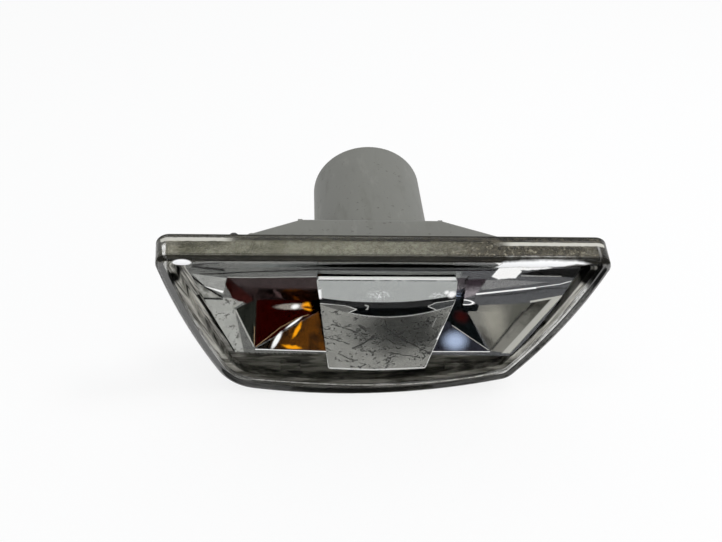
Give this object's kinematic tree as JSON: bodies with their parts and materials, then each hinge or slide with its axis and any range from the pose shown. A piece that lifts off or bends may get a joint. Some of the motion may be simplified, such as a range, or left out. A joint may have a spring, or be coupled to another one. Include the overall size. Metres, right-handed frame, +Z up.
{
  "type": "side repeater lamp",
  "caption": "Clear tapered side repeater lamp: metallised reflector, bulb shield and amber bulb in a grey housing with a round bulb neck, a fixed hook and a spring clip.",
  "frame": {"origin": "on the bulb neck's axis, in the plane of the housing's back face that seats on the body panel", "axes": "+X along the lamp's long top edge, +Y out of the seat plane into the car along the bulb neck, +Z up towards the long top edge; the lens faces -Y"},
  "size_m": [0.1037, 0.0535, 0.0464],
  "materials": {
    "lens_clear": "clear acrylic, polished, lightly scratched",
    "housing_grey": "mid grey moulded plastic, satin",
    "reflector_chrome": "vacuum-metallised plastic, lightly hazed",
    "shield_chrome": "vacuum-metallised plastic, worn and flaking",
    "clip_black": "blackened spring steel, satin",
    "bulb_amber": "amber-coated bulb glass",
    "wire_bright": "drawn wire, bright",
    "holder_black": "black moulded plastic, satin",
    "terminal_brass": "stamped brass",
    "seal_rubber": "moulded rubber ring"
  },
  "bodies": {
    "root": {"lens": "lens_clear", "housing": "housing_grey", "reflector": "reflector_chrome", "bulb_shield": "shield_chrome", "retaining_clip": "clip_black", "bulb_glass": "bulb_amber", "bulb_filament": "wire_bright", "bulb_lead_upper": "wire_bright", "bulb_lead_lower": "wire_bright", "bulb_holder": "holder_black", "terminal_upper": "terminal_brass", "terminal_lower": "terminal_brass", "holder_seal": "seal_rubber"}
  },
  "joints": []
}
